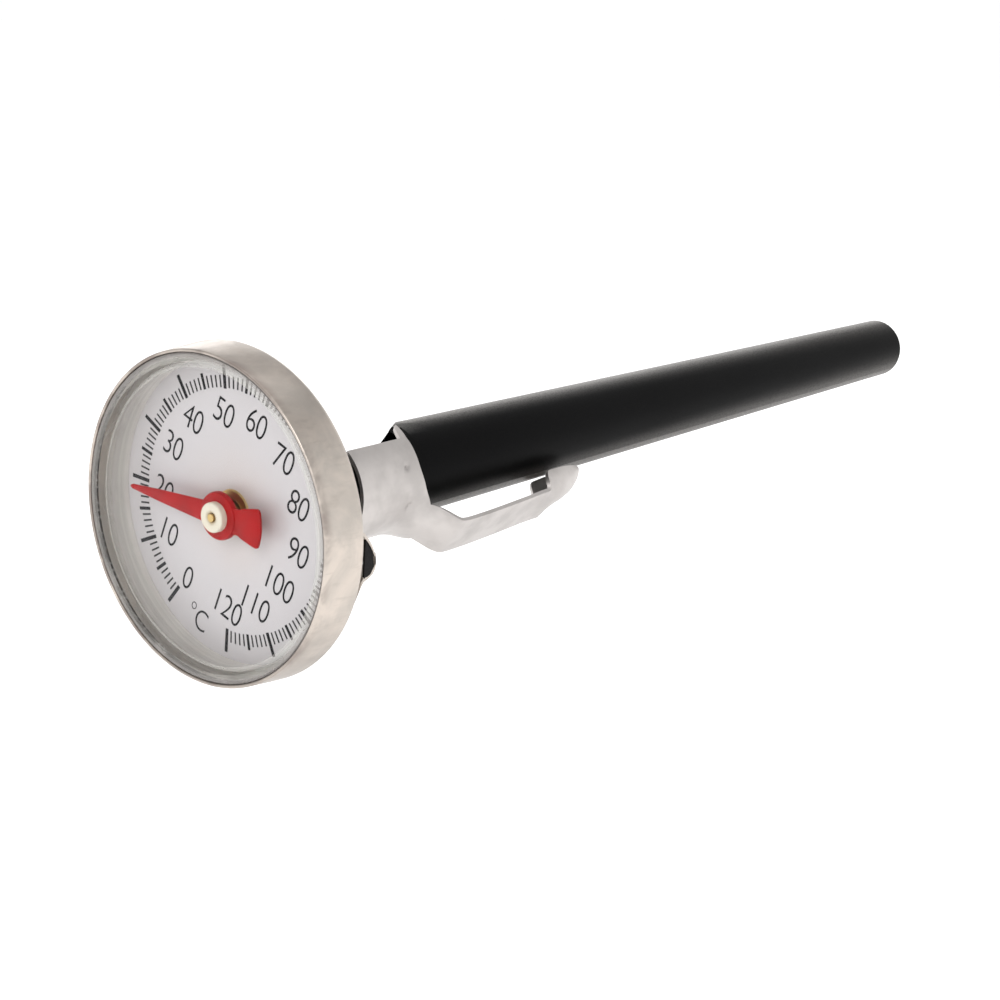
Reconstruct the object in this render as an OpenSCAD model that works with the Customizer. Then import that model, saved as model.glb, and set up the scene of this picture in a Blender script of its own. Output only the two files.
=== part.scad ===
// Pen-type dial thermometer in its pocket sheath.
// The stem's axis is +Y. The origin is on that axis, at the rear face of the calibration nut, where
// the bare stem starts. The dial faces -Y. Pieces are drawn along their own Z and laid on the axis.

/* [Stem] */
// Outside diameter of the stem tube
stem_d = 3.9; // [3.6:0.1:4.2]
// Wall of the stem tube
stem_wall = 0.4; // [0.35:0.05:0.45]
// Stem from the nut's rear face to its tip
stem_len = 121.5; // [110:0.5:130]
// Length of the bimetal coil
coil_len = 34; // [25:1:40]
// Turns of the bimetal coil
coil_turns = 18; // [12:1:24]

/* [Head] */
// Outside diameter of the head at its rear edge
head_d = 35; // [33:0.5:37]
// Outside diameter of the head at its front edge
front_d = 34.3; // [32.6:0.1:36]
// Depth of the band in front of the dial's face
bezel_depth = 4.4; // [4.2:0.1:5]
// Thickness of the crystal's front
crystal_t = 0.9; // [0.7:0.1:1]
// Azimuth of the 60 degree mark, clockwise from the top as the dial is read
dial_roll = 24.5; // [-60:0.5:60]

/* [Pointer] */
// Temperature shown at rest
reading = 19.5; // [0:0.5:120]
// Degrees of turn for one degree Celsius
turn_per_degree = 2.7; // [2:0.1:3]
// Reach of the pointer's tip from the axis
pointer_reach = 13.2; // [11:0.1:14]
// Reach of the pointer's tail from the axis
tail_reach = 6; // [5:0.1:7]

/* [Nut] */
// Width across the flats of the calibration nut
nut_af = 8; // [7:0.5:9]
// Thickness of the calibration nut
nut_t = 4; // [3:0.1:4]

/* [Sheath] */
// Outside diameter of the sheath behind the clip
sheath_d = 10.5; // [10:0.1:11]
// Outside diameter of the sheath at its tip
sheath_tip_d = 8.2; // [7.6:0.1:9]
// Far end of the sheath from the nut's rear face
sheath_end = 124.5; // [124:0.5:134]
// Outside diameter of the sheath's mouth, inside the clip's sleeve
mouth_d = 11.6; // [11.2:0.1:12]

/* [Clip] */
// Azimuth of the clip, clockwise from the top as the dial is read
clip_azimuth = 131; // [90:1:180]
// Thickness of the clip's sheet
clip_t = 0.45; // [0.3:0.05:0.5]
// Width of the clip's tongue
tongue_w = 5.5; // [4.5:0.1:5.5]
// Where the sleeve starts behind the nut's rear face
sleeve_start = 4; // [2:0.5:6]
// Where the sleeve ends behind the nut's rear face
sleeve_end = 14.5; // [12:0.5:16]

/* [Hidden] */
$fn = 96;

// axial stations, measured from the nut's rear face; the head is on the negative side
dial_face = -8.5;
dial_t = 0.3;
spacer_t = 0.15;
flange_t = 0.35;
back_t = 0.5;
band_t = 0.3;
front_edge = dial_face - bezel_depth;
flange_front = dial_face + dial_t + spacer_t;
plate_front = dial_face + 2.2;
plate_rear = plate_front + back_t;
hub_rear = plate_rear + 1;
gap = 0.05;
nut_front = -nut_t;

stem_r = stem_d / 2;
bore_r = stem_r - stem_wall;
neck_r = stem_r - 0.2;
head_r = head_d / 2;
front_r = front_d / 2;
spindle_r = 0.4;
running = 0.05;

crystal_r = front_r - 0.62;
dial_r = crystal_r - 0.1;
skirt_t = 0.75;
pointer_plane = dial_face - 2.3;

coil_r = 1.25;
coil_tape_t = 0.16;
coil_tape_w = 1;
anchor_front = stem_len - 5.5;
coil_front = anchor_front - coil_len;
lower_bush_front = coil_front - 10;
collar_r = coil_r - coil_tape_t - 0.04;

mouth_r = mouth_d / 2;
saddle_r = mouth_r + gap;
sheath_front = 0.4;
mouth_wall = 1.2;
mouth_half_angle = 90;
saddle_half_angle = 96;
nose_r = 1.5;
tip_bore_r = nose_r + 0.06;

// lays a piece drawn along +Z on the stem's axis, +Y
module on_axis() rotate([-90, 0, 0]) children();
// turns a piece so that its own +X points to an azimuth, clockwise from the top
module at_azimuth(a) rotate([0, 0, a - 90]) children();
module ring(inner_r, outer_r, from, to)
    translate([0, 0, from]) difference() {
        cylinder(r = outer_r, h = to - from);
        translate([0, 0, -1]) cylinder(r = inner_r, h = to - from + 2);
    }
// a wall of revolution seen from the axis: points are [radius, station]
module turned(points) rotate_extrude($fn = 128) polygon(points);

// ---- head ----
// the pressed lug on the band's rear edge is a small eye of the band's sheet
lip_front = flange_front + flange_t + 0.02;
lug_azimuth = 97;
lug_w = 5.2;
lug_h = 1.9;
lug_sheet = 0.4;
module lug_outline(grow) hull() {
    translate([-0.35, 0]) square([0.1, lug_w + 2 * grow], center = true);
    translate([lug_h - 1, lug_w * 0.16]) circle(r = 1 + grow, $fn = 24);
}
module case_band() color("tan") on_axis() {
    turned([
        [front_r, front_edge + 0.25], [front_r - 0.08, front_edge + 0.04], [front_r - 0.2, front_edge],
        [front_r - band_t, front_edge + 0.1], [head_r - band_t, dial_face], [head_r - band_t, flange_front],
        [head_r - 0.45, flange_front + 0.22], [head_r - 0.8, lip_front], [head_r - 1.9, lip_front],
        [head_r - 1.9, lip_front + 0.35], [head_r - 0.85, lip_front + 0.35], [head_r - 0.4, lip_front + 0.1],
        [head_r - 0.1, flange_front + 0.1], [head_r, flange_front - 0.35]
    ]);
    at_azimuth(lug_azimuth) translate([head_r - 1.75, 0, lip_front + 0.3])
        rotate([0, -90, 0]) mirror([0, 0, 1]) linear_extrude(1.5) difference() {
            lug_outline(0);
            lug_outline(-lug_sheet);
        }
}
module case_back() color("silver") on_axis() turned([
    [case_hole_r, plate_front], [13.6, plate_front], [14.6, flange_front],
    [head_r - 0.95, flange_front], [head_r - 0.95, flange_front + flange_t], [15, flange_front + flange_t],
    [14.1, plate_rear], [case_hole_r, plate_rear]
]);
case_hole_r = 3;
module case_hub() color("darkgray") on_axis() turned([
    [neck_r + running, plate_front - 0.5], [case_hole_r + 0.5, plate_front - 0.5],
    [case_hole_r + 0.5, plate_front], [case_hole_r, plate_front], [case_hole_r, plate_rear],
    [5.2, plate_rear], [5.2, hub_rear - 0.3], [4.9, hub_rear], [neck_r + running, hub_rear]
]);
module crystal() color("lightcyan") on_axis() turned([
    [0, front_edge + 0.05], [crystal_r - 0.5, front_edge + 0.05], [crystal_r - 0.12, front_edge + 0.2],
    [crystal_r, front_edge + 0.55], [crystal_r, dial_face], [crystal_r - skirt_t, dial_face],
    [crystal_r - skirt_t, front_edge + crystal_t + 0.6], [crystal_r - skirt_t - 0.5, front_edge + crystal_t],
    [0, front_edge + crystal_t]
]);
module crystal_seal() color("black") on_axis()
    ring(crystal_r, front_r - band_t - 0.03, front_edge + 0.3, front_edge + 0.9);
module dial_plate() color("white") on_axis()
    ring(1.9, dial_r, dial_face, dial_face + dial_t);
module dial_eyelet() color("darkgoldenrod") on_axis() turned([
    [1.45, dial_face - 0.2], [2.3, dial_face - 0.2], [2.4, dial_face], [1.9, dial_face],
    [1.9, dial_face + dial_t + 0.15], [1.45, dial_face + dial_t + 0.15]
]);
module dial_spacer() color("gray") on_axis()
    ring(14.7, head_r - 0.95, dial_face + dial_t, flange_front);

// ---- pointer ----
pointer_azimuth = dial_roll + turn_per_degree * (reading - 60);
boss_r = 2.5;
boss_t = 0.75;
blade_t = 0.25;
tip_w = 0.45;
root_w = 2.3;
tail_w = 4.4;
waist_w = 2.7;
module pointer() color("red") on_axis() at_azimuth(pointer_azimuth) difference() {
    union() {
        translate([0, 0, pointer_plane]) cylinder(r = boss_r, h = boss_t);
        translate([0, 0, pointer_plane + 0.25]) linear_extrude(blade_t) {
            polygon([
                [0, root_w / 2], [pointer_reach, tip_w / 2], [pointer_reach, -tip_w / 2],
                [0, -root_w / 2]
            ]);
            intersection() {
                polygon([
                    [0, waist_w / 2], [-3, waist_w / 2], [-tail_reach, tail_w / 2 + 0.1],
                    [-tail_reach, -tail_w / 2 - 0.1], [-3, -waist_w / 2], [0, -waist_w / 2]
                ]);
                circle(r = tail_reach);
            }
        }
    }
    translate([0, 0, pointer_plane - 1]) cylinder(r = spindle_r, h = 3);
}
hub_t = 0.75;
module pointer_hub() color("ivory") on_axis() turned([
    [spindle_r, pointer_plane - hub_t], [1.45, pointer_plane - hub_t], [1.55, pointer_plane - hub_t + 0.1],
    [1.55, pointer_plane], [spindle_r, pointer_plane]
]);
module spindle() color("goldenrod") on_axis()
    translate([0, 0, pointer_plane - hub_t - 0.05])
        cylinder(r = spindle_r, h = coil_front + 1 - pointer_plane + hub_t + 0.05);
module coil_collar() color("goldenrod") on_axis()
    ring(spindle_r, collar_r, coil_front - 1.5, coil_front + 1);

// ---- coil ----
coil_steps = 16;
coil_rings = coil_turns * coil_steps;
coil_rise = coil_len - coil_tape_w;
// the tape's four corners at one step along the coil
function tape_corners(i) =
    let (a = 360 * i / coil_steps, z = coil_front + coil_rise * i / coil_rings, inner_r = coil_r - coil_tape_t)
    [for (c = [[inner_r, 0], [coil_r, 0], [coil_r, coil_tape_w], [inner_r, coil_tape_w]])
        [c[0] * cos(a), c[0] * sin(a), z + c[1]]];
module bimetal_coil() color("peru") on_axis() polyhedron(
    points = [for (i = [0 : coil_rings]) each tape_corners(i)],
    faces = concat(
        [[0, 1, 2, 3]],
        [for (i = [0 : coil_rings - 1]) for (k = [0 : 3])
            [4 * i + k, 4 * i + 4 + k, 4 * i + 4 + (k + 1) % 4, 4 * i + (k + 1) % 4]],
        [[for (k = [3 : -1 : 0]) 4 * coil_rings + k]]
    )
);
module coil_anchor() color("goldenrod") on_axis() turned([
    [0, anchor_front - 1], [collar_r, anchor_front - 1],
    [collar_r, anchor_front + 0.3], [bore_r, anchor_front + 0.3], [bore_r, stem_len - 2],
    [0, stem_len - 2]
]);

// ---- stem ----
shoulder_front = plate_front - 1.45;
module upper_bush() color("goldenrod") on_axis() turned([
    [spindle_r + running, dial_face - 0.9], [1.1, dial_face - 0.9], [1.2, dial_face - 0.8],
    [1.2, shoulder_front], [bore_r, shoulder_front], [bore_r, shoulder_front + 3],
    [spindle_r + running, shoulder_front + 3]
]);
module lower_bush() color("goldenrod") on_axis()
    ring(spindle_r + running, bore_r, lower_bush_front, lower_bush_front + 3);
module stem_tube() color("silver") on_axis() turned([
    [bore_r, shoulder_front], [neck_r, shoulder_front], [neck_r, 0], [stem_r, 0],
    [stem_r, stem_len - 2], [bore_r, stem_len - 2]
]);
module stem_tip() color("silver") on_axis() turned([
    [0, stem_len - 2], [stem_r, stem_len - 2], [nose_r, stem_len - 1.5], [nose_r, stem_len - 0.4],
    [nose_r - 0.12, stem_len - 0.12], [nose_r - 0.4, stem_len], [0, stem_len]
]);
module stem_shoulder() color("silver") on_axis()
    ring(neck_r, 3.1, shoulder_front, shoulder_front + 0.85);
nut_chamfer = 0.45;
module calibration_nut() color("silver") on_axis() difference() {
    intersection() {
        translate([0, 0, nut_front]) cylinder(d = nut_af / cos(30), h = nut_t, $fn = 6);
        turned([
            [0, nut_front], [nut_af / 2, nut_front], [nut_af / 2 + 0.75, nut_front + nut_chamfer],
            [nut_af / 2 + 0.75, -nut_chamfer], [nut_af / 2, 0], [0, 0]
        ]);
    }
    translate([0, 0, nut_front - 1]) cylinder(r = neck_r, h = nut_t + 2);
}
module friction_washer() color("gray") on_axis() turned([
    [neck_r, hub_rear + gap + 0.25], [neck_r, hub_rear + gap], [4.1, nut_front - 0.25], [4.1, nut_front]
]);

// ---- sheath ----
sheath_r = sheath_d / 2;
sheath_tip_r = sheath_tip_d / 2;
sheath_floor = sheath_end - 1.5;
// radius of the tapered outside at a station
function taper(z) = sheath_r + (sheath_tip_r - sheath_r) * (z - sleeve_end) / (sheath_end - sleeve_end);
// side view of the cut-away, opposite the clip: x is the height towards the clip, y the station
module mouth_cut() rotate([90, 0, 0]) linear_extrude(20, center = true) polygon([
    [-12, -1], [0, -1], [0, sleeve_end - 1.4], [-0.5, sleeve_end - 0.7], [-1.6, sleeve_end - 0.1],
    [-3, sleeve_end + 0.3], [-4.6, sleeve_end + 3.6], [-5.4, sleeve_end + 5.2], [-6.5, sleeve_end + 6],
    [-12, sleeve_end + 6]
]);
module sheath() color("black") on_axis() at_azimuth(clip_azimuth) difference() {
    turned([
        [mouth_r - mouth_wall, sheath_front], [mouth_r - 0.2, sheath_front],
        [mouth_r, sheath_front + 0.2], [mouth_r, sleeve_end], [sheath_r, sleeve_end],
        [taper(sheath_end - 0.6), sheath_end - 0.6], [taper(sheath_end) - 0.18, sheath_end - 0.18],
        [taper(sheath_end) - 0.6, sheath_end], [0, sheath_end], [0, sheath_floor],
        [tip_bore_r, sheath_floor], [tip_bore_r, stem_len - 1.3], [sheath_tip_r - 1.2, stem_len - 1.7],
        [sheath_r - 1.6, sleeve_end + 8], [mouth_r - mouth_wall, sleeve_end + 2]
    ]);
    mouth_cut();
}

// ---- clip ----
saddle_outer = saddle_r + clip_t;
// half sleeve bent round the mouth, with two horns at its rear corners
module wedge(half_angle) polygon(concat(
    [[0, 0]],
    [for (i = [-8 : 8]) 14 * [cos(half_angle * i / 8), sin(half_angle * i / 8)]]
));
horn_angle = 118;
module saddle_sector(half_angle, from, to) intersection() {
    ring(saddle_r, saddle_outer, from, to);
    translate([0, 0, from - 1]) linear_extrude(to - from + 2) wedge(half_angle);
}
module clip_saddle() color("silver") on_axis() at_azimuth(clip_azimuth) {
    difference() {
        saddle_sector(saddle_half_angle, sleeve_start, sleeve_end);
        translate([0, 0, tongue_root - gap]) linear_extrude(6) wedge(tongue_notch_angle);
    }
    for (side = [-1, 1]) intersection() {
        saddle_sector(horn_angle, sleeve_end - 1.1, sleeve_end);
        rotate([0, 0, side * horn_angle]) rotate([0, 90, 0]) translate([0, 0, saddle_r - 2])
            cylinder(r = 3.2, h = 6);
    }
}
// side view of the tongue: x is the height from the axis, y the station
tongue_root = sleeve_start + 8.2;
tongue_notch_angle = 27;
tongue_path = [
    [saddle_r, tongue_root], [saddle_outer, tongue_root], [9.3, tongue_root + 2.3],
    [9.85, tongue_root + 3.2], [10.05, tongue_root + 4.4], [9.75, tongue_root + 13],
    [9.35, tongue_root + 22.8], [8.9, tongue_root + 22.8], [9.3, tongue_root + 13],
    [9.6, tongue_root + 4.5], [9.4, tongue_root + 3.6], [8.85, tongue_root + 2.6]
];
// the dished end, hollow towards the sheath, with its rim close to the sheath
module dished_end(grow) hull() {
    translate([9.35 - tongue_w / 2, 0, tongue_root + 23.4]) sphere(r = tongue_w / 2 + grow, $fn = 32);
    translate([8.35 - tongue_w / 2, 0, tongue_root + 27.4]) sphere(r = tongue_w / 2 + grow, $fn = 32);
}
// what is cut off the dished end, on the sheath's side of a sloping line and ahead of the strip's end
module under_rim() rotate([90, 0, 0]) linear_extrude(20, center = true) polygon([
    [0, tongue_root + 16], [12, tongue_root + 16], [12, tongue_root + 22], [8.7, tongue_root + 22],
    [6, tongue_root + 25.6], [5.45, tongue_root + 28], [5.45, tongue_root + 36], [0, tongue_root + 36]
]);
module clip_tongue() color("silver") on_axis() at_azimuth(clip_azimuth) {
    rotate([90, 0, 0]) linear_extrude(tongue_w, center = true) polygon(tongue_path);
    difference() {
        dished_end(0);
        dished_end(-clip_t);
        under_rim();
    }
}

case_band();
case_back();
case_hub();
crystal();
crystal_seal();
dial_plate();
dial_eyelet();
dial_spacer();
pointer();
pointer_hub();
spindle();
coil_collar();
bimetal_coil();
coil_anchor();
upper_bush();
lower_bush();
stem_tube();
stem_tip();
stem_shoulder();
calibration_nut();
friction_washer();
sheath();
clip_saddle();
clip_tongue();
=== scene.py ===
import math

import bmesh
import bpy
from mathutils import Matrix, Vector, noise


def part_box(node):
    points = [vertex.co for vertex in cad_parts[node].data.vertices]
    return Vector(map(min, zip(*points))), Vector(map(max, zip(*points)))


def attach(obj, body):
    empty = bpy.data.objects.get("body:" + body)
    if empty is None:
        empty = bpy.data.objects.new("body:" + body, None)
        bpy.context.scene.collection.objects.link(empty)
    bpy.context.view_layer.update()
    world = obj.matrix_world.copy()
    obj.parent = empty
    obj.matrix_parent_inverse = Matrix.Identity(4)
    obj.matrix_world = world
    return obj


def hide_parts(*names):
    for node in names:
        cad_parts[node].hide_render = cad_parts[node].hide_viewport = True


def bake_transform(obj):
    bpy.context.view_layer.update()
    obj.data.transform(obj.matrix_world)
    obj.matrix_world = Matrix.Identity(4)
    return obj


MM = 0.001
FULL_TURN = 2 * math.pi

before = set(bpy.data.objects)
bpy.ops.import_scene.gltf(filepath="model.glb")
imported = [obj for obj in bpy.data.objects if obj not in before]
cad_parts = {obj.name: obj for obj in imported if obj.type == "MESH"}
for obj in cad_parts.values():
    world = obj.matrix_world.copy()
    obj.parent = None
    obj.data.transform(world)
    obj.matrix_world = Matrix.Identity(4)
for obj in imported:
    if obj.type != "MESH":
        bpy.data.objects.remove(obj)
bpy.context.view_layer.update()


def station(node, end):
    """Where a node starts (0) or ends (1) along the stem's axis, in millimetres."""
    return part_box(node)[end][1] / MM


# stations along the stem's axis and radii about it, in millimetres
DIAL_FACE = station("dial_plate", 0)
BAND_FRONT = station("case_band", 0)
HEAD_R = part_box("case_band")[1][2] / MM
POINTER_FRONT = station("pointer", 0)
POINTER_REAR = station("pointer", 1)
HUB_FRONT = station("pointer_hub", 0)
SADDLE_FRONT = station("clip_saddle", 0)

# the scale: the azimuth of its middle, how far it turns for one degree, and what the pointer shows
DIAL_ROLL = 24.5
TURN_PER_DEGREE = 2.7
MIDDLE_DEGREE = 60
LAST_DEGREE = 120
READING = 19.5

CLIP_AZIMUTH = 131
LUG_AZIMUTH = 97


def on_axis(radius, azimuth, y):
    """The point at a radius and an azimuth in degrees, clockwise from the top as the dial is read."""
    a = math.radians(azimuth)
    return Vector((radius * math.sin(a), y, radius * math.cos(a))) * MM


# ---------------------------------------------------------------- shader maths
class Field:
    """A value that varies over a surface. Sums and products of fields add Math nodes."""

    def __init__(self, paint, socket):
        self.paint = paint
        self.socket = socket

    def math(self, operation, *others):
        node = self.paint.add("ShaderNodeMath", {"operation": operation}, [self, *others])
        return Field(self.paint, node.outputs[0])

    def __add__(self, other):
        return self.math("ADD", other)

    def __sub__(self, other):
        return self.math("SUBTRACT", other)

    def __mul__(self, other):
        return self.math("MULTIPLY", other)

    def __rsub__(self, other):
        node = self.paint.add("ShaderNodeMath", {"operation": "SUBTRACT"}, [other, self])
        return Field(self.paint, node.outputs[0])

    __radd__ = __add__
    __rmul__ = __mul__

    def between(self, low, high, out_low=0.0, out_high=1.0):
        """The field carried from low..high to out_low..out_high, smoothly, and held beyond."""
        node = self.paint.add(
            "ShaderNodeMapRange",
            {"interpolation_type": "SMOOTHSTEP"},
            [self, low, high, out_low, out_high],
        )
        return Field(self.paint, node.outputs[0])


class Paint:
    """One finish: a material with its nodes."""

    def __init__(self, name):
        self.material = bpy.data.materials.new(name)
        self.material.use_nodes = True
        self.tree = self.material.node_tree
        self.tree.nodes.clear()
        self.place = self.add("ShaderNodeTexCoord").outputs["Object"]

    def add(self, kind, settings=None, sockets=()):
        """A node of a kind. Its settings are set first, then its sockets, by place or by name."""
        node = self.tree.nodes.new(kind)
        for name, value in (settings or {}).items():
            if name == "stops":
                self.fill_ramp(node.color_ramp, value)
            else:
                setattr(node, name, value)
        named = sockets.items() if isinstance(sockets, dict) else enumerate(sockets)
        for name, value in named:
            value = getattr(value, "socket", value)
            if isinstance(value, bpy.types.NodeSocket):
                self.tree.links.new(value, node.inputs[name])
            else:
                node.inputs[name].default_value = value
        return node

    @staticmethod
    def fill_ramp(ramp, stops):
        while len(ramp.elements) < len(stops):
            ramp.elements.new(1.0)
        for element, (at, colour) in zip(ramp.elements, stops):
            element.position = at
            element.color = (*colour, 1)

    def grain(self, size, detail=3.0, roughness=0.5, stretch=(1, 1, 1), warp=0.0):
        """Noise whose features are about size millimetres, drawn out by stretch."""
        scale = tuple(1 / (size * MM * s) for s in stretch)
        mapped = self.add("ShaderNodeMapping", None, {"Vector": self.place, "Scale": scale})
        node = self.add(
            "ShaderNodeTexNoise",
            None,
            {
                "Vector": mapped.outputs[0],
                "Scale": 1.0,
                "Detail": detail,
                "Roughness": roughness,
                "Distortion": warp,
            },
        )
        return Field(self, node.outputs[0])

    def axes(self):
        """The three Object coordinates, in millimetres."""
        node = self.add("ShaderNodeSeparateXYZ", None, [self.place])
        return [Field(self, out) * (1 / MM) for out in node.outputs]

    def radius(self):
        """The distance from the stem's axis, in millimetres."""
        x, _, z = self.axes()
        return (x * x + z * z).math("SQRT")

    def blend(self, amount, first, second):
        """A colour between two colours."""
        node = self.add(
            "ShaderNodeMix",
            {"data_type": "RGBA"},
            {0: amount, 6: self.colour(first), 7: self.colour(second)},
        )
        return node.outputs[2]

    @staticmethod
    def colour(value):
        return (*value, 1) if isinstance(value, tuple) and len(value) == 3 else value

    def bump(self, height, depth, over=None):
        """A bump from a height field; depth is in millimetres."""
        sockets = {"Height": height, "Strength": 1.0, "Distance": depth * MM}
        if over is not None:
            sockets["Normal"] = over
        return self.add("ShaderNodeBump", None, sockets).outputs[0]

    def surface(self, **sockets):
        """The Principled surface, from sockets named with underscores."""
        named = {name.replace("_", " "): self.colour(value) for name, value in sockets.items()}
        return self.add("ShaderNodeBsdfPrincipled", None, named)

    def finish(self, shader):
        self.add("ShaderNodeOutputMaterial", None, [shader.outputs[0]])
        return self.material


# ---------------------------------------------------------------- finishes
def satin_case_steel():
    """Warm satin stainless: fine turning lines round the axis, smudges, rub marks along it, patches darker
    towards the bottom and the top, and a painted shadow along the front lip.
    """
    p = Paint("satin_case_steel")
    lines = p.grain(0.09, 2.0, 0.6, stretch=(160, 1, 160))
    cloud = p.grain(6.0, 4.0, 0.6, warp=0.4)
    smudge = p.grain(2.2, 5.0, 0.65, stretch=(1, 2.2, 1))
    speck = p.grain(0.5, 2.0, 0.5)
    rubs = p.grain(0.55, 3.0, 0.6, stretch=(1, 7, 1))
    _, y, z = p.axes()
    warm = p.blend(cloud.between(0.35, 0.68), (0.66, 0.585, 0.52), (0.52, 0.475, 0.43))
    # patches darker towards the bottom and, less, towards the top, shaped by the smudge noise
    top_and_bottom_darkening = z.between(-16.0, -5.0, 0.75, 0.0) + z.between(8.0, 16.0, 0.0, 0.5)
    warm = p.blend(top_and_bottom_darkening * smudge.between(0.25, 0.6, 0.5, 1.0), warm, (0.33, 0.29, 0.26))
    # painted shadow: the band is darkened reddish-brown along its front lip, where the crystal meets it, in
    # cloudy patches
    lip = y.between(BAND_FRONT + 0.15, BAND_FRONT + 1.3, 1.0, 0.0) * cloud.between(0.42, 0.62)
    warm = p.blend(lip * 0.6, warm, (0.24, 0.19, 0.17))
    worn = p.blend(smudge.between(0.52, 0.76, 0.0, 0.45), warm, (0.38, 0.34, 0.3))
    worn = p.blend(rubs.between(0.55, 0.75, 0.0, 0.28), worn, (0.42, 0.375, 0.335))
    rough = cloud.between(0.3, 0.75, 0.3, 0.42) + lines.between(0.3, 0.7, -0.03, 0.05)
    height = lines * 0.5 + speck * 0.35
    return p.finish(
        p.surface(
            Base_Color=worn,
            Metallic=0.92,
            Roughness=rough,
            Normal=p.bump(height, 0.006, p.bump(smudge, 0.03)),
        )
    )


def pressed_steel(name, tone, rough, line_size=0.12):
    """Cold-rolled sheet: a fine even grain with faint clouding."""
    p = Paint(name)
    grain = p.grain(line_size, 3.0, 0.6, stretch=(1, 24, 1))
    cloud = p.grain(4.0, 3.0, 0.55)
    tint = p.blend(cloud.between(0.36, 0.66), tone, tuple(0.84 * c for c in tone))
    roughness = cloud.between(0.3, 0.7, rough - 0.04, rough + 0.05) + grain.between(0.3, 0.7, -0.02, 0.03)
    return p.finish(
        p.surface(Base_Color=tint, Metallic=0.9, Roughness=roughness, Normal=p.bump(grain, 0.005))
    )


def turned_metal(name, tone, rough):
    """Lathe-turned metal with rings round the axis."""
    p = Paint(name)
    rings = p.grain(0.07, 2.0, 0.55, stretch=(200, 1, 200))
    stain = p.grain(6.0, 3.0, 0.5, stretch=(1, 3, 1))
    tint = p.blend(stain.between(0.42, 0.7), tone, tuple(0.86 * c for c in tone))
    roughness = stain.between(0.3, 0.7, rough - 0.05, rough + 0.08)
    return p.finish(
        p.surface(Base_Color=tint, Metallic=1.0, Roughness=roughness, Normal=p.bump(rings, 0.002))
    )


def sheath_black():
    """Black satin moulding: a fine spark-eroded grain that catches the light where it is seen edge on."""
    p = Paint("sheath_black")
    grain = p.grain(0.16, 3.0, 0.6)
    swirl = p.grain(9.0, 3.0, 0.5, stretch=(1, 2.5, 1))
    fleck = p.grain(0.22, 2.0, 0.6)
    facing = Field(p, p.add("ShaderNodeLayerWeight").outputs["Facing"])
    tint = p.blend(fleck.between(0.5, 0.75), (0.0012, 0.0012, 0.0014), (0.003, 0.0026, 0.0026))
    roughness = swirl.between(0.3, 0.7, 0.4, 0.48) + grain.between(0.35, 0.7, -0.03, 0.05)
    bumps = p.bump(grain, 0.008)
    body = p.surface(Base_Color=tint, Roughness=roughness, Specular_IOR_Level=0.05, Normal=bumps)
    bloom = p.surface(Base_Color=(0.56, 0.53, 0.5), Metallic=1.0, Roughness=0.42, Normal=bumps)
    amount = facing.between(0.5, 0.9, 0.0, 0.34) * fleck.between(0.3, 0.6, 0.55, 1.1)
    return p.finish(p.add("ShaderNodeMixShader", None, [amount, body.outputs[0], bloom.outputs[0]]))


def dial_enamel():
    """Pale grey dial, a little warmer round its centre, with the fine tooth of a printed plate."""
    p = Paint("dial_enamel")
    radius = p.radius()
    tooth = p.grain(0.18, 2.0, 0.6)
    cloud = p.grain(5.0, 3.0, 0.5)
    warm = radius.between(1.5, 9.0, 1.0, 0.0) * cloud.between(0.3, 0.7, 0.6, 1.0)
    tint = p.blend(warm, (0.64, 0.615, 0.625), (0.66, 0.605, 0.58))
    return p.finish(
        p.surface(
            Base_Color=tint,
            Metallic=0.15,
            Roughness=cloud.between(0.3, 0.7, 0.4, 0.5),
            Normal=p.bump(tooth, 0.004),
        )
    )


def ink(name, tone):
    """Screen-printed ink with slightly uneven coverage; the same flat finish also paints the shadow inside
    the lug's eye.
    """
    p = Paint(name)
    cover = p.grain(0.12, 2.0, 0.6)
    tint = p.blend(cover.between(0.4, 0.75), tone, tuple(c + 0.01 for c in tone))
    sheen = {"Roughness": 0.55, "Specular_IOR_Level": 0.15}
    return p.finish(p.surface(Base_Color=tint, Normal=p.bump(cover, 0.003), **sheen))


def pointer_enamel():
    """Red enamel, uneven in its depth, with a soft orange-peel surface."""
    p = Paint("pointer_enamel")
    peel = p.grain(0.5, 3.0, 0.5)
    fade = p.grain(2.4, 3.0, 0.5)
    tint = p.blend(fade.between(0.35, 0.7), (0.42, 0.001, 0.002), (0.32, 0.001, 0.001))
    return p.finish(
        p.surface(
            Base_Color=tint,
            Roughness=fade.between(0.3, 0.7, 0.28, 0.4),
            Specular_IOR_Level=0.2,
            Normal=p.bump(peel, 0.01),
        )
    )


def hub_cream():
    """Cream moulding, browner in its centre where the spindle stands."""
    p = Paint("hub_cream")
    radius = p.radius()
    stain = p.grain(0.5, 4.0, 0.6)
    brown = radius.between(0.35, 0.95, 1.0, 0.0) * stain.between(0.3, 0.6, 0.5, 1.0)
    tint = p.blend(brown, (0.78, 0.73, 0.6), (0.46, 0.36, 0.2))
    return p.finish(
        p.surface(
            Base_Color=tint,
            Roughness=0.42,
            Normal=p.bump(stain, 0.01),
        )
    )


def seal_rubber():
    """Black rubber, a little dusty."""
    p = Paint("seal_rubber")
    grain = p.grain(0.2, 3.0, 0.6)
    dust = p.grain(1.4, 4.0, 0.6)
    tint = p.blend(dust.between(0.45, 0.75), (0.02, 0.016, 0.014), (0.075, 0.06, 0.05))
    return p.finish(p.surface(Base_Color=tint, Roughness=0.62, Normal=p.bump(grain, 0.01)))


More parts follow.
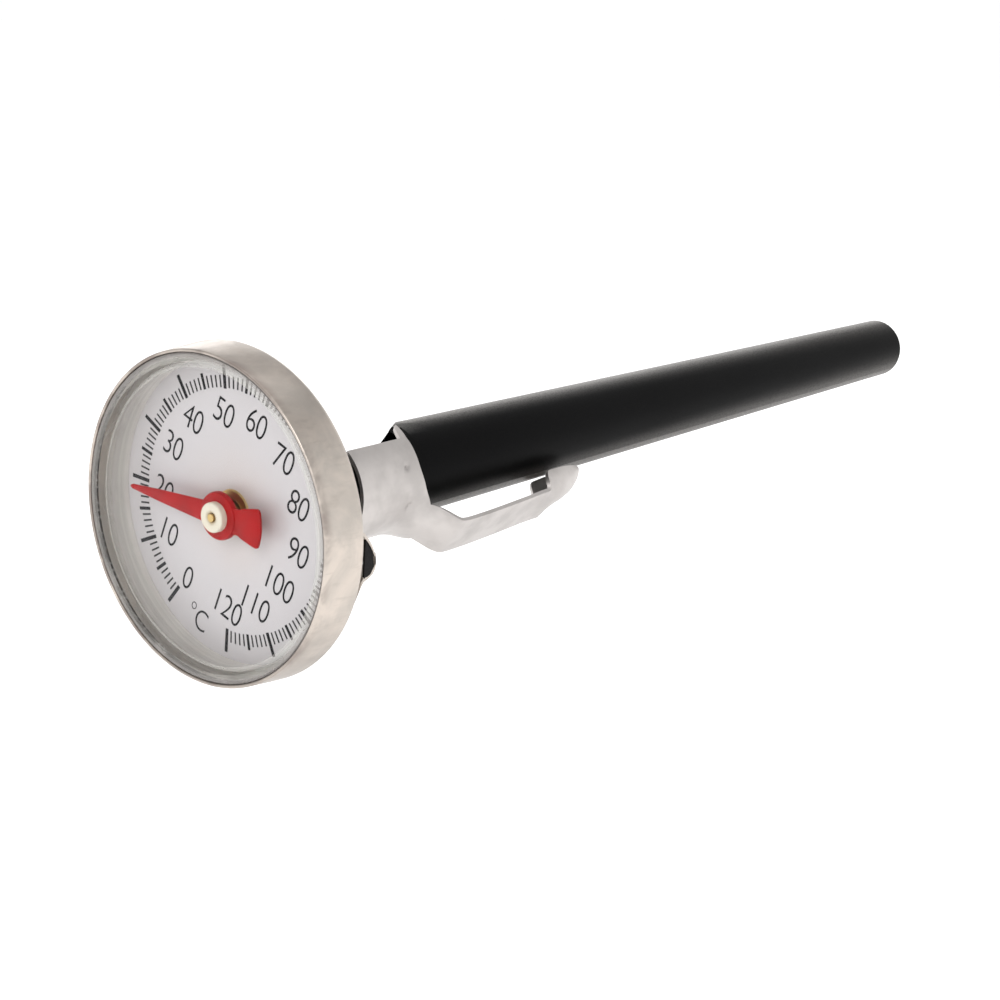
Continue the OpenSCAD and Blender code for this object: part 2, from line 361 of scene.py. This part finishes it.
def crystal_front():
    """Clear moulded front: almost only its gloss shows, with faint smears."""
    p = Paint("crystal_front")
    smear = p.grain(7.0, 4.0, 0.6, stretch=(1, 1, 2.6), warp=0.6)
    facing = Field(p, p.add("ShaderNodeLayerWeight").outputs["Facing"])
    clear = p.add("ShaderNodeBsdfTransparent", None, {"Color": (0.985, 0.985, 0.985, 1)})
    gloss = smear.between(0.4, 0.8, 0.05, 0.16)
    shine = p.surface(Base_Color=(0.9, 0.9, 0.92), Metallic=1.0, Roughness=gloss)
    amount = facing.between(0.3, 1.0, 0.004, 0.3) + smear.between(0.5, 0.85, 0.0, 0.012)
    return p.finish(p.add("ShaderNodeMixShader", None, [amount, clear.outputs[0], shine.outputs[0]]))


def crystal_wall():
    """The crystal's side wall, seen through its thickness: milky bands, moulding smears, a painted dark
    line where the front curves into it, and a painted shadow round its front rim next to the band.
    """
    p = Paint("crystal_wall")
    _, y, _ = p.axes()
    smear = p.grain(5.0, 5.0, 0.62, stretch=(1, 0.6, 1), warp=0.8)
    band = p.grain(0.5, 2.0, 0.5, stretch=(60, 1, 60))
    facing = Field(p, p.add("ShaderNodeLayerWeight").outputs["Facing"])
    clear = p.add("ShaderNodeBsdfTransparent", None, {"Color": (0.93, 0.94, 0.93, 1)})
    tint = p.blend(smear.between(0.4, 0.7), (0.95, 0.92, 0.87), (0.72, 0.69, 0.65))
    radius = p.radius()
    # painted shade: a dark line where the front curves into the wall, standing in for the dark edge seen
    # through the clear plastic
    line_r = HEAD_R - 2.45
    line = radius.between(line_r - 0.2, line_r) - radius.between(line_r, line_r + 0.25)
    # painted shadow: the wall's outer rim just behind the front is darkened where it meets the band
    rim = radius.between(HEAD_R - 1.4, HEAD_R - 1.1)
    dark = y.between(BAND_FRONT + 0.2, BAND_FRONT + 0.5, 1.0, 0.0) * rim
    tint = p.blend(line * 0.75 + dark * 0.6, tint, (0.16, 0.13, 0.13))
    milk = p.surface(Base_Color=tint, Roughness=0.22, Coat_Weight=0.4, Coat_Roughness=0.1)
    deep = y.between(BAND_FRONT, DIAL_FACE, 0.22, 0.6)
    amount = deep + facing.between(0.4, 1.0, 0.0, 0.3) + smear.between(0.45, 0.8, -0.08, 0.2)
    amount = amount + band.between(0.35, 0.7, -0.04, 0.06) + line * 0.3 + dark * 0.3
    return p.finish(p.add("ShaderNodeMixShader", None, [amount, clear.outputs[0], milk.outputs[0]]))


def pale_floor():
    """Matt white, lit a little from within so that it stays pale in the object's shadow."""
    p = Paint("pale_floor")
    return p.finish(
        p.surface(
            Base_Color=(0.9, 0.9, 0.9),
            Roughness=0.9,
            Specular_IOR_Level=0.1,
            Emission_Color=(1, 1, 1),
            Emission_Strength=0.42,
        )
    )


CASE = satin_case_steel()
CLIP = pressed_steel("clip_steel", (0.6, 0.565, 0.545), 0.42)
BACK = pressed_steel("back_steel", (0.45, 0.43, 0.4), 0.32)
STEM = turned_metal("stem_steel", (0.56, 0.56, 0.55), 0.2)
NUT = turned_metal("nut_steel", (0.48, 0.48, 0.47), 0.26)
WASHER = turned_metal("washer_steel", (0.45, 0.45, 0.46), 0.32)
BRASS = turned_metal("turned_brass", (0.72, 0.52, 0.22), 0.28)
COIL = turned_metal("bimetal", (0.6, 0.42, 0.26), 0.34)
SPACER = pressed_steel("spacer_metal", (0.55, 0.55, 0.55), 0.4)
BLACK = sheath_black()
DIAL = dial_enamel()
INK = ink("dial_ink", (0.012, 0.011, 0.013))
GREY_INK = ink("dial_ink_fine", (0.035, 0.033, 0.034))
RED = pointer_enamel()
CREAM = hub_cream()
RUBBER = seal_rubber()
# flat near-black that paints the shadow seen inside the lug's eye
PAINTED_LUG_SHADOW = ink("lug_shadow", (0.006, 0.005, 0.005))
CRYSTAL_FRONT = crystal_front()
CRYSTAL_WALL = crystal_wall()

CAD_FINISHES = {
    "case_back": BACK,
    "case_hub": NUT,
    "crystal_seal": RUBBER,
    "dial_plate": DIAL,
    "dial_eyelet": BRASS,
    "dial_spacer": SPACER,
    "spindle": BRASS,
    "coil_collar": BRASS,
    "bimetal_coil": COIL,
    "coil_anchor": BRASS,
    "upper_bush": BRASS,
    "lower_bush": BRASS,
    "stem_tube": STEM,
    "stem_tip": STEM,
    "stem_shoulder": STEM,
    "calibration_nut": NUT,
    "friction_washer": WASHER,
    "sheath": BLACK,
}
for node, material in CAD_FINISHES.items():
    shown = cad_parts[node]
    shown.data.materials.clear()
    shown.data.materials.append(material)


# ---------------------------------------------------------------- pieces
SPAN_STEPS = 12


def catmull_rom(a, b, c, d, t):
    """One coordinate of the curve at a share t of the way from b to c, with a before and d after."""
    slope = c - a
    bend = 2 * a - 5 * b + 4 * c - d
    twist = 3 * b - a - 3 * c + d
    return 0.5 * (2 * b + slope * t + bend * t * t + twist * t ** 3)


def smooth_line(points, steps):
    """Points evenly along a Catmull-Rom curve through given points."""
    last = len(points) - 1
    rich = []
    for i in range(last):
        beside = (points[max(i - 1, 0)], points[i], points[i + 1], points[min(i + 2, last)])
        for k in range(SPAN_STEPS):
            rich.append(tuple(catmull_rom(*along, k / SPAN_STEPS) for along in zip(*beside)))
    rich.append(points[-1])
    lengths = [0.0]
    for a, b in zip(rich, rich[1:]):
        lengths.append(lengths[-1] + math.dist(a, b))
    out = []
    for step in range(steps + 1):
        want = lengths[-1] * step / steps
        k = max(j for j, length in enumerate(lengths) if length <= want + 1e-9)
        k = min(k, len(rich) - 2)
        share = (want - lengths[k]) / max(lengths[k + 1] - lengths[k], 1e-9)
        out.append(tuple(a + (b - a) * share for a, b in zip(rich[k], rich[k + 1])))
    return out


def ease(x, low, high):
    """0 at low, 1 at high, smooth between them and held beyond."""
    t = min(max((x - low) / (high - low), 0.0), 1.0)
    return t * t * (3 - 2 * t)


def settle(bm, name, materials, sharp, merge=True):
    """Turns a bmesh into a piece at the origin, smooth but for edges of more than sharp degrees."""
    if merge:
        bmesh.ops.remove_doubles(bm, verts=bm.verts, dist=1e-7)
        bmesh.ops.dissolve_degenerate(bm, edges=bm.edges, dist=1e-8)
        bmesh.ops.recalc_face_normals(bm, faces=bm.faces)
    for face in bm.faces:
        face.smooth = True
    for edge in bm.edges:
        if len(edge.link_faces) == 2:
            edge.smooth = edge.calc_face_angle(0) < math.radians(sharp)
    mesh = bpy.data.meshes.new(name)
    bm.to_mesh(mesh)
    bm.free()
    for material in materials:
        mesh.materials.append(material)
    piece = bpy.data.objects.new(name, mesh)
    bpy.context.scene.collection.objects.link(piece)
    return piece


def spun(bm, profile, steps=160):
    """Spins a closed profile of (radius, station) points about the stem's axis."""
    points = [bm.verts.new((r * MM, y * MM, 0)) for r, y in profile]
    sides = [bm.edges.new(pair) for pair in zip(points, points[1:] + points[:1])]
    bmesh.ops.spin(
        bm,
        geom=points + sides,
        cent=(0, 0, 0),
        axis=(0, 1, 0),
        angle=FULL_TURN,
        steps=steps,
        use_merge=True,
    )


def arc(centre, radius, start, end, steps):
    """Points on an arc in a profile, angles in degrees from the radial direction."""
    out = []
    for i in range(steps + 1):
        a = math.radians(start + (end - start) * i / steps)
        out.append((centre[0] + radius * math.cos(a), centre[1] + radius * math.sin(a)))
    return out


def sheet_grid(bm, rows, columns, place):
    """A grid whose vertices are moved to place(row share, column share)."""
    made = bmesh.ops.create_grid(bm, x_segments=rows, y_segments=columns, size=1)
    for vert in made["verts"]:
        vert.co = place((vert.co.x + 1) / 2, (vert.co.y + 1) / 2)


# the crystal, a cup with a bead round its front
CUP_FRONT = BAND_FRONT + 0.05
CUP_R = HEAD_R - 0.97
CUP_PANE = 0.85
CUP_WALL = 0.75
CUP_BEAD = 0.3
CUP_BEAD_PROUD = 0.25
CUP_FILLET = 0.6


def crystal():
    """The cup-shaped crystal: a flat front with a rounded shoulder and a bead, and a deep side wall."""
    inner_r = CUP_R - CUP_WALL
    pane_rear = CUP_FRONT + CUP_PANE
    rear = DIAL_FACE - 0.02
    profile = [(0, CUP_FRONT), (inner_r, CUP_FRONT)]
    profile += arc((CUP_R + CUP_BEAD_PROUD - CUP_BEAD, CUP_FRONT + CUP_BEAD), CUP_BEAD, -90, 0, 5)
    profile += [(CUP_R, CUP_FRONT + CUP_BEAD + CUP_BEAD_PROUD), (CUP_R, rear), (inner_r, rear)]
    profile += [(inner_r, pane_rear + CUP_FILLET + 0.05)]
    profile += arc((inner_r - CUP_FILLET, pane_rear + CUP_FILLET), CUP_FILLET, 0, -90, 6)
    profile += [(0, pane_rear)]
    bm = bmesh.new()
    spun(bm, profile)
    for face in bm.faces:
        middle = face.calc_center_median()
        outside = math.hypot(middle.x, middle.z) / MM > inner_r - CUP_FILLET - 0.05
        face.material_index = 1 if outside else 0
    piece = settle(bm, "crystal_cup", [CRYSTAL_FRONT, CRYSTAL_WALL], 40)
    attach(piece, "head")
    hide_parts("crystal")


# the band: the radii of its rolled lips and of its rear corner, outside and inside the sheet
FRONT_LIP = 0.17
REAR_LIP = 0.15
CORNER = 0.85
INNER_CORNER = 0.56


def band():
    """The case's band: a rolled front lip, a drawn side, a rounded rear corner and the rolled rear lip."""
    front_r = HEAD_R - 0.35
    lip_y = DIAL_FACE + 0.82
    corner_y = DIAL_FACE + 0.1
    profile = arc((front_r - FRONT_LIP, BAND_FRONT + FRONT_LIP), FRONT_LIP, -180, 0, 8)
    profile += [(front_r + 0.1, BAND_FRONT + 1.4), (front_r + 0.23, BAND_FRONT + 2.9)]
    profile += arc((HEAD_R - CORNER, corner_y), CORNER, 0, 90, 10)
    profile += [(HEAD_R - 1.5, lip_y + REAR_LIP)]
    profile += arc((HEAD_R - 1.75, lip_y), REAR_LIP, 90, 270, 6)
    profile += [(HEAD_R - 0.95, lip_y - REAR_LIP)]
    profile += arc((HEAD_R - 0.9, corner_y), INNER_CORNER, 82, 0, 6)
    profile += [(front_r - 0.32, BAND_FRONT + 0.4)]
    bm = bmesh.new()
    spun(bm, profile, 192)
    bmesh.ops.recalc_face_normals(bm, faces=bm.faces)
    bm.from_mesh(lug())
    piece = settle(bm, "case_band_drawn", [CASE, PAINTED_LUG_SHADOW], 50, merge=False)
    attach(piece, "head")
    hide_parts("case_band")


LUG_STEPS = 36
LUG_SHEET = 0.42
# the thickness of the dark sheet that paints the shadow in the eye
LUG_FILLING = 0.3
LUG_BASE = DIAL_FACE + 0.75
LUG_OUTER_R = HEAD_R - 0.3
LUG_INNER_R = HEAD_R - 1.7
# the lug's outline, as (distance round the head, height over its base)
LUG_OUTLINE = [
    (-2.7, 0.0), (-1.9, 0.7), (-1.0, 1.3), (0.1, 1.8), (1.1, 2.0), (1.9, 1.75),
    (2.35, 1.15), (2.6, 0.6), (3.3, 0.3), (4.4, 0.1), (5.4, 0.0),
]
# the stretch of the outline that the dark sheet inside follows; the sheet paints the shadow in the eye
LUG_FILLED = slice(3, -12)


def lug_place(radius, scale_r, along, y):
    """The point at a radius, a distance along the circle of scale_r from the lug's middle."""
    return on_axis(radius, LUG_AZIMUTH + math.degrees(along / scale_r), y)


def lug():
    """A mesh of the small eye on the rear lip, and of a dark sheet inside it that paints the shadow in the
    eye.
    """
    outline = smooth_line(LUG_OUTLINE, LUG_STEPS)

    def strip(u, v):
        along, back = outline[round(u * LUG_STEPS)]
        radius = LUG_OUTER_R + (LUG_INNER_R - LUG_OUTER_R) * v
        return lug_place(radius, radius, along, LUG_BASE + back)

    bm = bmesh.new()
    sheet_grid(bm, LUG_STEPS, 2, strip)
    middle = on_axis(HEAD_R - 1, LUG_AZIMUTH, LUG_BASE)
    # the normals are still the flat grid's, so the strip changes sides at its crown
    for face in bm.faces:
        if face.normal.dot(face.calc_center_median() - middle) < 0:
            face.normal_flip()
    bmesh.ops.solidify(bm, geom=bm.faces[:], thickness=LUG_SHEET * MM)
    inside = []
    for along, back in outline[LUG_FILLED]:
        spot = lug_place(LUG_OUTER_R - 0.35, LUG_OUTER_R, along, LUG_BASE - 0.05 + back * 0.9)
        inside.append(bm.verts.new(spot))
    # the dark sheet: a painted shadow filling the eye
    filled = bmesh.ops.contextual_create(bm, geom=inside, mat_nr=1)["faces"]
    bmesh.ops.solidify(bm, geom=filled, thickness=LUG_FILLING * MM)
    mesh = bpy.data.meshes.new("lug")
    bm.to_mesh(mesh)
    bm.free()
    return mesh


# the thickness of the printed ink
PRINT = 0.02
# the scale's lines, as (inner end, outer end, width, which ink)
TENS_LINE = (12.6, 15.15, 0.4, 0)
FIVES_LINE = (12.65, 14.3, 0.34, 0)
SINGLES_LINE = (12.7, 13.95, 0.19, 1)


def tick(bm, degree):
    """One line of the scale: long at tens, shorter at fives, fine at the rest."""
    if degree % 10 == 0:
        inner, outer, width, material = TENS_LINE
    elif degree % 5 == 0:
        inner, outer, width, material = FIVES_LINE
    else:
        inner, outer, width, material = SINGLES_LINE
    azimuth = DIAL_ROLL + TURN_PER_DEGREE * (degree - MIDDLE_DEGREE)
    made = bmesh.ops.create_cube(bm, size=1)
    place = (
        Matrix.Rotation(math.radians(azimuth), 4, "Y")
        @ Matrix.Translation(Vector((0, DIAL_FACE - PRINT / 2, (inner + outer) / 2)) * MM)
        @ Matrix.Diagonal((width * MM, PRINT * MM, (outer - inner) * MM, 1))
    )
    bmesh.ops.transform(bm, matrix=place, verts=made["verts"])
    for vert in made["verts"]:
        for face in vert.link_faces:
            face.material_index = material


def scale_lines():
    """The printed lines, one for each degree."""
    bm = bmesh.new()
    for degree in range(LAST_DEGREE + 1):
        tick(bm, degree)
    piece = settle(bm, "scale_lines", [INK, GREY_INK], 20, merge=False)
    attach(piece, "head")


# the height of a capital in a text of size 1, and how much narrower the print is than the plain face
FIGURE_CAP = 0.73
FIGURE_NARROW = 0.8
FIGURE_HEIGHT = 2.85
# the middle of each figure on the dial, to the right of its centre and above it
FIGURE_PLACES = {
    0: (-3.1, -10.3), 10: (-7.2, -7.3), 20: (-9.7, -3.5), 30: (-10.1, 1.7), 40: (-8.6, 5.9),
    50: (-4.9, 8.9), 60: (-0.5, 10.3), 70: (4.1, 9.0), 80: (7.6, 5.8), 90: (9.4, 1.3),
    100: (8.6, -3.2), 110: (6.5, -7.1), 120: (3.3, -9.8),
}
UNIT_HEIGHT = 2.6
UNIT_PLACE = (-0.2, -13.4)


def figure(text, height, x, z):
    """A mesh of one figure, standing upright on the dial as it is read."""
    curve = bpy.data.curves.new("figure_" + text, "FONT")
    curve.body = text
    curve.size = 1.0
    curve.align_x = "CENTER"
    curve.offset = -0.012
    curve.extrude = PRINT / 2
    curve.space_character = 0.94
    holder = bpy.data.objects.new("figure_" + text, curve)
    bpy.context.scene.collection.objects.link(holder)
    bpy.context.view_layer.update()
    mesh = bpy.data.meshes.new_from_object(holder)
    bpy.data.objects.remove(holder)
    xs = [v.co.x for v in mesh.vertices]
    ys = [v.co.y for v in mesh.vertices]
    middle = ((min(xs) + max(xs)) / 2, (min(ys) + max(ys)) / 2)
    grow = height / FIGURE_CAP
    upright = Matrix.Rotation(math.pi / 2, 4, "X")
    place = (
        Matrix.Rotation(math.radians(DIAL_ROLL), 4, "Y")
        @ Matrix.Translation(Vector((x, DIAL_FACE - PRINT / 2, z)) * MM)
        @ upright
        @ Matrix.Diagonal((grow * FIGURE_NARROW * MM, grow * MM, MM, 1))
        @ Matrix.Translation((-middle[0], -middle[1], 0))
    )
    mesh.transform(place)
    return mesh


def scale_figures():
    """The printed figures and the unit."""
    bm = bmesh.new()
    for degree, (x, z) in FIGURE_PLACES.items():
        bm.from_mesh(figure(str(degree), FIGURE_HEIGHT, x, z))
    bm.from_mesh(figure("°C", UNIT_HEIGHT, *UNIT_PLACE))
    piece = settle(bm, "scale_figures", [INK], 20)
    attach(piece, "head")


# the pointer
BOSS_R = 2.5
SPINDLE_HOLE_R = 0.42
# the blade's rear face, and its thickness at the rim and under the spine
BLADE_REAR = POINTER_FRONT + 0.5
BLADE_RIM = 0.16
BLADE_BODY = 0.2
# the blade's sections, as (distance from the centre, half width, height of the spine)
BLADE_SECTIONS = [(1.8, 1.15, 0.16), (5, 0.92, 0.15), (9, 0.62, 0.12), (13, 0.24, 0.05), (13.2, 0.1, 0.02)]
# one side of the tail's outline, from the boss out, as (across, along)
TAIL_SIDE = [
    (-1.35, -1.5), (-1.35, -2.9), (-1.55, -3.3), (-1.95, -4.9), (-2.03, -5.4),
    (-1.95, -5.62), (-1.7, -5.75), (-0.9, -5.93), (0, -6.0),
]
TAIL_THICKNESS = 0.25
TAIL_BORDER = 0.12
TAIL_CROWN = 0.07


def pointer_boss(bm):
    """The round boss, open for the spindle."""
    front, rear = POINTER_FRONT + 0.02, POINTER_REAR - 0.02
    profile = [(SPINDLE_HOLE_R, front), (2.1, front), (BOSS_R - 0.1, POINTER_FRONT + 0.1)]
    profile += [(BOSS_R, POINTER_FRONT + 0.3), (BOSS_R, POINTER_REAR - 0.08), (BOSS_R - 0.1, rear)]
    profile += [(SPINDLE_HOLE_R, rear)]
    spun(bm, profile, 96)


def pointer_blade(bm):
    """The blade, tapering to its tip, with a raised spine."""
    loops = []
    for z, half, crown in BLADE_SECTIONS:
        side = [(half, BLADE_REAR), (half, BLADE_REAR - BLADE_RIM)]
        side += [(half * 0.4, BLADE_REAR - BLADE_BODY - crown * 0.8)]
        points = [(-x, y) for x, y in side] + [(0, BLADE_REAR - BLADE_BODY - crown)] + side[::-1]
        section = [bm.verts.new(Vector((x, y, z)) * MM) for x, y in points]
        loops.append([bm.edges.new(pair) for pair in zip(section, section[1:] + section[:1])])
    for first, second in zip(loops, loops[1:]):
        bmesh.ops.bridge_loops(bm, edges=first + second)
    for end in (loops[0], loops[-1]):
        bmesh.ops.contextual_create(bm, geom=end)


def pointer_tail(bm):
    """The flared tail: a flat plate with a softened, slightly raised face."""
    outline = TAIL_SIDE + [(-x, z) for x, z in TAIL_SIDE[-2::-1]]
    face = bm.faces.new([bm.verts.new(Vector((x, BLADE_REAR, z)) * MM) for x, z in outline])
    made = bmesh.ops.extrude_face_region(bm, geom=[face])["geom"]
    front = [part for part in made if isinstance(part, bmesh.types.BMVert)]
    bmesh.ops.translate(bm, verts=front, vec=(0, -TAIL_THICKNESS * MM, 0))
    lid = [part for part in made if isinstance(part, bmesh.types.BMFace)]
    bmesh.ops.inset_region(bm, faces=lid, thickness=TAIL_BORDER * MM, depth=0.0, use_even_offset=True)
    bmesh.ops.translate(bm, verts=lid[0].verts, vec=(0, -TAIL_CROWN * MM, 0))


def pointer():
    """Pressed pointer: a round boss, a blade and a flared tail, turned to the reading."""
    azimuth = DIAL_ROLL + TURN_PER_DEGREE * (READING - MIDDLE_DEGREE)
    bm = bmesh.new()
    pointer_boss(bm)
    pointer_blade(bm)
    pointer_tail(bm)
    bmesh.ops.transform(bm, matrix=Matrix.Rotation(math.radians(azimuth), 4, "Y"), verts=bm.verts)
    piece = settle(bm, "pointer_blade", [RED], 38)
    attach(piece, "pointer")
    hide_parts("pointer")


HUB_R = 1.55
HUB_EDGE = 0.2


def hub_cap():
    """Cream cap over the boss, dished in the middle round the spindle's end."""
    profile = [(SPINDLE_HOLE_R, HUB_FRONT + 0.3), (0.55, HUB_FRONT + 0.12), (0.85, HUB_FRONT + 0.02)]
    profile += [(1.1, HUB_FRONT)] + arc((HUB_R - HUB_EDGE, HUB_FRONT + HUB_EDGE), HUB_EDGE, -90, 0, 5)
    profile += [(HUB_R, POINTER_FRONT), (SPINDLE_HOLE_R, POINTER_FRONT)]
    bm = bmesh.new()
    spun(bm, profile, 72)
    piece = settle(bm, "pointer_cap", [CREAM], 50)
    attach(piece, "pointer")
    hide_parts("pointer_hub")


# the clip's sheet; its saddle lies round the axis over SADDLE_HALF degrees to either side of the tongue
SHEET = 0.45
SADDLE_R = 6.3
SADDLE_HALF = 90.5
SADDLE_ROWS = 36
SADDLE_COLUMNS = 72
TONGUE_COLUMNS = 16
# half of the angle over which the tongue leaves the saddle's rear edge
ROOT_HALF = SADDLE_HALF * TONGUE_COLUMNS / SADDLE_COLUMNS
ROOT_Y = 14.2
# how far the saddle's rear edge lies ahead of the root, away from the tongue
REAR_STEP = 1.05
# the middles of the saddle's two dents, as (station, degrees from the tongue), and their depth
DENTS = ((11.2, -60), (11.6, -20))
DENT_DEPTH = 0.32
DENT_HALF_LENGTH = 0.45
DENT_HALF_TURN = 6
DENT_SLANT = 0.08
RIPPLE = 0.035
# where the two horns of the saddle end, in degrees from the tongue
HORN_HALF = 109
TONGUE_HALF = 2.75
# where the tongue begins to be dished, where it is fully dished, and where its tip narrows and ends
DISH_START = 31.6
DISH_END = 34.0
TIP_START = 36.2
TIP_END = 42.2
# the rims of the dished end before they curl in, as a distance from the axis
RIM = 9.25
# how far the flat tongue's edges lie below its crown
CAMBER = 0.12
# the middle of the tongue's outer face, as (station, distance from the stem's axis)
CROWN_LINE = [
    (3.5, 6.3), (7.0, 6.3), (9.8, 6.3), (11.3, 6.36), (12.4, 6.72), (13.4, 7.4), (14.4, 8.25),
    (15.3, 9.05), (16.1, 9.66), (17.2, 10.0), (20.0, 10.0), (23.5, 9.87), (28.5, 9.62), (32.0, 9.4),
    (35.0, 9.3), (37.0, 9.1), (39.0, 8.6), (40.5, 7.95), (41.5, 7.25), (42.0, 6.75),
]
CROWN = smooth_line(CROWN_LINE, 300)


def crown_at(y):
    """The crown's distance from the axis at a station."""
    for (y0, r0), (y1, r1) in zip(CROWN, CROWN[1:]):
        if y <= y1:
            return r0 + (r1 - r0) * (y - y0) / (y1 - y0)
    return CROWN[-1][1]


def saddle_point(y, turn, crown):
    """The saddle's outer face, swelling towards the tongue's root; turn is in degrees from its middle."""
    swell = (crown - SADDLE_R) * (1 - ease(abs(turn), 0, 37 if turn < 0 else 66))
    return on_axis(SADDLE_R + swell, CLIP_AZIMUTH + turn, y)


def tongue_point(y, crown, c):
    """A point of the tongue's outer face; c runs from -1 to 1 across it, positive clockwise."""
    half = TONGUE_HALF
    if y > TIP_START:
        half *= 0.12 + 0.88 * math.sqrt(max(1 - ((y - TIP_START) / (TIP_END - TIP_START)) ** 2, 0.0))
    dish = ease(y, DISH_START, DISH_END)
    flat = 1 - ease(y, 31.0, DISH_END)
    angle = c * math.pi / 2
    near_rim = RIM - 2.65 * ease(y, 32.2, 34.8)
    far_rim = RIM - 4.45 * ease(y, 34.6, 37.6) + 1.8 * ease(y, 39.5, 42.0)
    drop = max(crown - (far_rim if c > 0 else near_rim), 0.0) * dish
    height = crown - drop * (1 - math.cos(angle)) - CAMBER * c * c * flat
    across = math.sin(angle) * dish + c * (1 - dish)
    middle = math.radians(CLIP_AZIMUTH)
    out = Vector((math.sin(middle), 0, math.cos(middle)))
    side = Vector((math.cos(middle), 0, -math.sin(middle)))
    strip = (out * height + side * half * across + Vector((0, y, 0))) * MM
    rooted = 1 - ease(y, ROOT_Y, 16.6)
    return strip.lerp(saddle_point(y, c * ROOT_HALF, crown), rooted)


def dented(place, y, turn):
    """A point of the saddle, moved in or out by its faint ripples and its two dents."""
    depth = RIPPLE * noise.noise(Vector((y * 0.4, turn * 0.06, 3.0))) * ease(abs(turn), 20, 60)
    for dent_y, dent_turn in DENTS:
        slant = DENT_SLANT * (turn - dent_turn)
        far = math.hypot((y - dent_y + slant) / DENT_HALF_LENGTH, (turn - dent_turn) / DENT_HALF_TURN)
        depth -= DENT_DEPTH * (1 - ease(far, 0, 1))
    return place + Vector((place.x, 0, place.z)).normalized() * depth * MM


def clip():
    """The clip: one sheet, bent round the sheath's mouth and carried on as the sprung tongue."""
    bm = bmesh.new()
    line = [point for point in CROWN if point[0] > ROOT_Y + 0.02]
    line = [(ROOT_Y, crown_at(ROOT_Y))] + line[::3] + [line[-1]]
    rows = len(line) - 1

    def tongue(u, v):
        y, crown = line[round(u * rows)]
        return tongue_point(y, crown, 2 * v - 1)

    def saddle(u, v):
        turn = (2 * v - 1) * SADDLE_HALF
        front = SADDLE_FRONT + 0.02
        rear = ROOT_Y - REAR_STEP * ease(abs(turn), ROOT_HALF, 62)
        y = front + (rear - front) * u
        return dented(saddle_point(y, turn, crown_at(y)), y, turn)

    sheet_grid(bm, rows, TONGUE_COLUMNS, tongue)
    sheet_grid(bm, SADDLE_ROWS, SADDLE_COLUMNS, saddle)
    for side in (-1, 1):

        def horn(u, v, side=side):
            turn = SADDLE_HALF + (HORN_HALF - SADDLE_HALF) * v
            wide = 0.9 * math.sqrt(max(1 - v ** 1.6, 0.0)) + 0.04
            y = ROOT_Y - REAR_STEP + 0.3 * v - wide * (1 - u)
            return on_axis(SADDLE_R, CLIP_AZIMUTH + side * turn, y)

        sheet_grid(bm, 4, 12, horn)
    bmesh.ops.remove_doubles(bm, verts=bm.verts, dist=2e-6)
    for face in bm.faces:
        middle = face.calc_center_median()
        if face.normal.dot(Vector((middle.x, 0, middle.z))) < 0:
            face.normal_flip()
    bmesh.ops.solidify(bm, geom=bm.faces[:], thickness=SHEET * MM)
    piece = settle(bm, "clip_sheet", [CLIP], 42, merge=False)
    bend_start = on_axis(6, CLIP_AZIMUTH, 11.8)
    bend_end = on_axis(7, CLIP_AZIMUTH, 13.4)
    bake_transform(piece)
    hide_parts("clip_saddle", "clip_tongue")


crystal()
band()
scale_lines()
scale_figures()
pointer()
hub_cap()
clip()


# ---------------------------------------------------------------- studio
# places from here on are in metres
FLOOR_Z = -0.032
bpy.ops.mesh.primitive_plane_add(size=80, location=(0, 0, FLOOR_Z))
floor = bpy.context.object
floor.name = "floor"
floor.data.materials.append(pale_floor())


def softbox(name, place, aim, size, power):
    """A rectangular light at a place, turned to what it aims at; power is in watts."""
    light = bpy.data.lights.new(name, "AREA")
    light.shape = "RECTANGLE"
    light.size, light.size_y = size
    light.energy = power
    holder = bpy.data.objects.new(name, light)
    holder.location = place
    holder.rotation_euler = (Vector(aim) - Vector(place)).to_track_quat("-Z", "Y").to_euler()
    bpy.context.scene.collection.objects.link(holder)


softbox("top_light", (-0.05, 0.1, 0.8), (0, 0.03, 0), (0.6, 0.6), 1.8)
softbox("back_light", (-0.95, 1.05, 0.36), (0, 0.08, 0), (1.2, 0.5), 2.4)
softbox("front_light", (0.3, -0.75, 0.55), (0, 0, 0), (0.5, 0.5), 2.4)


def studio_world():
    """Soft light from all round, white at the sides and dimmer overhead, so that metal has some shape."""
    world = bpy.data.worlds.new("studio")
    world.use_nodes = True
    nodes, links = world.node_tree.nodes, world.node_tree.links
    apart = nodes.new("ShaderNodeSeparateXYZ")
    links.new(nodes.new("ShaderNodeTexCoord").outputs["Generated"], apart.inputs[0])
    dim = nodes.new("ShaderNodeMapRange")
    dim.interpolation_type = "SMOOTHSTEP"
    dim_from, dim_to, side_strength, top_strength = 0.3, 0.75, 1.02, 0.5
    for socket, value in zip(dim.inputs[1:5], (dim_from, dim_to, side_strength, top_strength)):
        socket.default_value = value
    links.new(apart.outputs[2], dim.inputs[0])
    background = nodes["Background"]
    background.inputs[0].default_value = (1, 1, 1, 1)
    links.new(dim.outputs[0], background.inputs[1])
    bpy.context.scene.world = world


studio_world()
bpy.context.scene.view_settings.view_transform = "Standard"

CAMERA_PLACE = Vector((0.1441, -0.1433, 0.0486))
CAMERA_LOOK = Vector((-0.6127, 0.7545, -0.2353))
CAMERA_UP = Vector((-0.1483, 0.1827, 0.9719))

camera_data = bpy.data.cameras.new("camera")
camera_data.sensor_width = 36
camera_data.lens = 72
camera_data.clip_start = 0.01
camera = bpy.data.objects.new("camera", camera_data)
bpy.context.scene.collection.objects.link(camera)
look = CAMERA_LOOK.normalized()
right = look.cross(CAMERA_UP).normalized()
stand = Matrix((right, right.cross(look), -look)).transposed().to_4x4()
stand.translation = CAMERA_PLACE
camera.matrix_world = stand
bpy.context.scene.camera = camera
